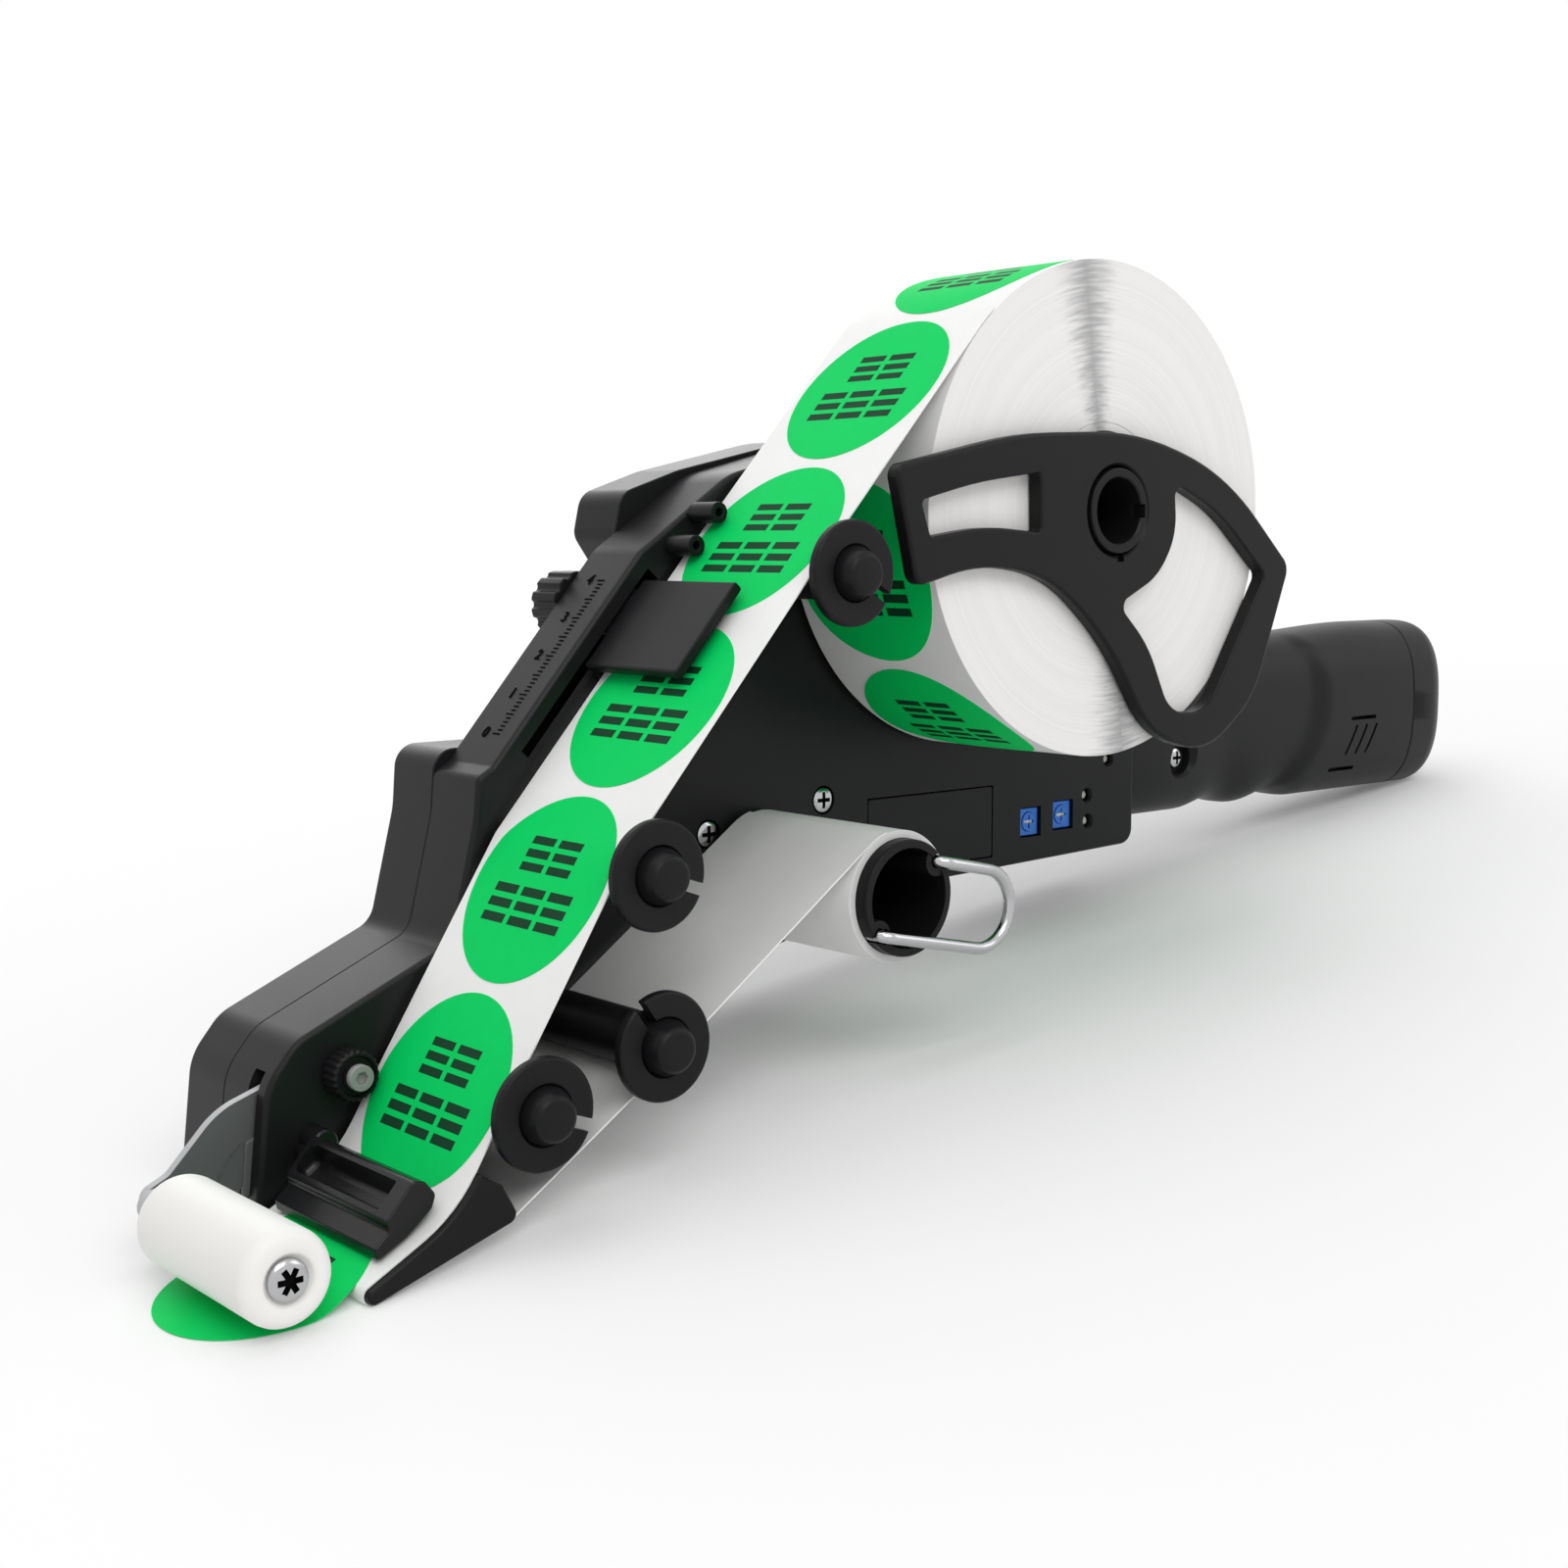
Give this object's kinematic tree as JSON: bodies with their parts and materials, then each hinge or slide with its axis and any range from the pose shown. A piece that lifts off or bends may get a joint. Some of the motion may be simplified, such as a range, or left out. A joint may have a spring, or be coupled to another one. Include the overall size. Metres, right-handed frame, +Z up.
{
  "type": "handheld label applicator",
  "caption": "Hand-held electric label applicator: a label roll on a slim housing, guide rollers, a peel edge, a pressing roller and a pistol-grip handle.",
  "frame": {"origin": "middle of the footprint, on the floor", "axes": "+X towards the handle, +Y from the label roll into the housing, +Z up; the machine rests on its dispensed label and the end of its handle"},
  "size_m": [0.4349, 0.086, 0.1612],
  "materials": {
    "shell": "satin",
    "black": "semi-gloss",
    "liner": "satin",
    "label": "semi-gloss",
    "card": "matte",
    "chrome": "polished",
    "roller": "satin",
    "arm": "satin",
    "blue": "gloss",
    "white": "satin",
    "board": "satin",
    "lens": "gloss",
    "steel": "satin"
  },
  "bodies": {
    "frame": {"frame_shell": "shell", "cover_shell": "shell", "access_hatch": "shell", "shell_screws": "chrome", "handle_grip": "shell", "handle_screw": "chrome", "battery_cells": "blue", "control_board": "board", "trimmer_cases": "blue", "status_leds": "lens", "feed_switch": "black", "drive_motor": "steel", "guide_axles": "steel", "keeper_pegs": "black", "roll_spindle": "black", "peel_platen": "black", "press_pin": "steel", "edge_wheel_screw": "chrome", "arm_pivot": "steel", "arm_spring": "steel", "label_web": "liner", "web_labels": "label", "waste_liner": "liner", "peeled_label": "label"},
    "cap": {"handle_cap": "shell"},
    "trimmer_1": {"trimmer_rotor_1": "white"},
    "trimmer_2": {"trimmer_rotor_2": "white"},
    "button": {"power_button": "black"},
    "pinion": {"motor_pinion": "steel"},
    "spool": {"takeup_spool": "black", "spool_gear": "white", "waste_roll": "liner"},
    "clip": {"spool_clip": "chrome"},
    "guide_a": {"guide_roller_a": "black"},
    "guide_b": {"guide_roller_b": "black"},
    "guide_c": {"guide_roller_c": "black"},
    "guide_d": {"guide_roller_d": "black"},
    "flange_a": {"flange_a": "black"},
    "flange_b": {"flange_b": "black"},
    "flange_c": {"flange_c": "black"},
    "flange_d": {"flange_d": "black"},
    "roll": {"roll_core": "card", "label_roll": "liner", "roll_labels": "label"},
    "retainer": {"retainer": "black"},
    "press": {"press_bar": "black"},
    "edge": {"edge_wheel": "black"},
    "arm": {"roller_arm": "arm", "roller_screw": "chrome"},
    "roller": {"applicator_roller": "roller"},
    "sensor": {"sensor_head": "black"},
    "knob": {"sensor_knob": "black"}
  },
  "joints": [
    {"name": "roll_spin", "type": "hinge", "parent": "frame", "child": "roll", "pos_m": [0.01124, -0.013, 0.10709], "axis": [0, -1, 0], "continuous": true},
    {"name": "guide_a_spin", "type": "hinge", "parent": "frame", "child": "guide_a", "pos_m": [-0.06718, -0.013, 0.10547], "axis": [0, -1, 0], "continuous": true},
    {"name": "guide_b_spin", "type": "hinge", "parent": "frame", "child": "guide_b", "pos_m": [-0.12205, -0.013, 0.05853], "axis": [0, -1, 0], "continuous": true},
    {"name": "guide_c_spin", "type": "hinge", "parent": "frame", "child": "guide_c", "pos_m": [-0.12547, -0.013, 0.0268], "axis": [0, -1, 0], "continuous": true},
    {"name": "guide_d_spin", "type": "hinge", "parent": "frame", "child": "guide_d", "pos_m": [-0.15293, -0.013, 0.02264], "axis": [0, -1, 0], "continuous": true},
    {"name": "spool_spin", "type": "hinge", "parent": "frame", "child": "spool", "pos_m": [-0.06031, -0.013, 0.03821], "axis": [0, -1, 0], "continuous": true},
    {"name": "pinion_spin", "type": "hinge", "parent": "frame", "child": "pinion", "pos_m": [-0.06096, 0.017, 0.0582], "axis": [0, -1, 0], "continuous": true},
    {"name": "edge_spin", "type": "hinge", "parent": "frame", "child": "edge", "pos_m": [-0.16562, 0.007, 0.02505], "axis": [0, -1, 0], "continuous": true},
    {"name": "arm_lift", "type": "hinge", "parent": "frame", "child": "arm", "pos_m": [-0.17034, 0.0146, 0.01956], "axis": [0, 1, 0], "range_deg": [0, 6], "stiffness_Nm_per_rad": 0.5, "springref_deg": -5.73},
    {"name": "roller_spin", "type": "hinge", "parent": "arm", "child": "roller", "pos_m": [-0.20414, -0.013, 0.01065], "axis": [0, -1, 0], "continuous": true},
    {"name": "press_lift", "type": "hinge", "parent": "frame", "child": "press", "pos_m": [-0.17418, 0.007, 0.0147], "axis": [0, 1, 0], "range_deg": [0, 30]},
    {"name": "sensor_slide", "type": "slide", "parent": "frame", "child": "sensor", "axis": [0.7599, 0, 0.65], "range_m": [-0.016, 0.0015]},
    {"name": "knob_turn", "type": "hinge", "parent": "sensor", "child": "knob", "pos_m": [-0.08585, 0.032, 0.10082], "axis": [0, 1, 0], "range_deg": [-180, 180]},
    {"name": "retainer_twist", "type": "hinge", "parent": "frame", "child": "retainer", "pos_m": [0.01124, -0.037, 0.10709], "axis": [0, -1, 0], "range_deg": [0, 60]},
    {"name": "flange_a_pull", "type": "slide", "parent": "guide_a", "child": "flange_a", "axis": [0, -1, 0], "range_m": [0, 0.012]},
    {"name": "flange_b_pull", "type": "slide", "parent": "guide_b", "child": "flange_b", "axis": [0, -1, 0], "range_m": [0, 0.012]},
    {"name": "flange_c_pull", "type": "slide", "parent": "guide_c", "child": "flange_c", "axis": [0, -1, 0], "range_m": [0, 0.012]},
    {"name": "flange_d_pull", "type": "slide", "parent": "guide_d", "child": "flange_d", "axis": [0, -1, 0], "range_m": [0, 0.012]},
    {"name": "clip_pull", "type": "slide", "parent": "spool", "child": "clip", "axis": [0, -1, 0], "range_m": [0, 0.045]},
    {"name": "trimmer_1_turn", "type": "hinge", "parent": "frame", "child": "trimmer_1", "pos_m": [0.02675, 0.012, 0.02891], "axis": [0, -1, 0], "range_deg": [-135, 135]},
    {"name": "trimmer_2_turn", "type": "hinge", "parent": "frame", "child": "trimmer_2", "pos_m": [0.03855, 0.012, 0.02804], "axis": [0, -1, 0], "range_deg": [-135, 135]},
    {"name": "button_press", "type": "slide", "parent": "frame", "child": "button", "axis": [0, -1, 0], "range_m": [0, 0.0015], "stiffness_N_per_m": 300, "springref_m": -0.0005},
    {"name": "cap_pull", "type": "slide", "parent": "frame", "child": "cap", "axis": [0.99, 0, -0.1413], "range_m": [0, 0.03]}
  ],
  "couplings": [
    {"joint": "guide_a_spin", "follows": "roll_spin", "ratio": 10.113},
    {"joint": "guide_b_spin", "follows": "roll_spin", "ratio": 10.113},
    {"joint": "guide_c_spin", "follows": "roll_spin", "ratio": 10.113},
    {"joint": "guide_d_spin", "follows": "roll_spin", "ratio": 10.113},
    {"joint": "spool_spin", "follows": "roll_spin", "ratio": -3.9412},
    {"joint": "pinion_spin", "follows": "roll_spin", "ratio": 7.3193}
  ]
}
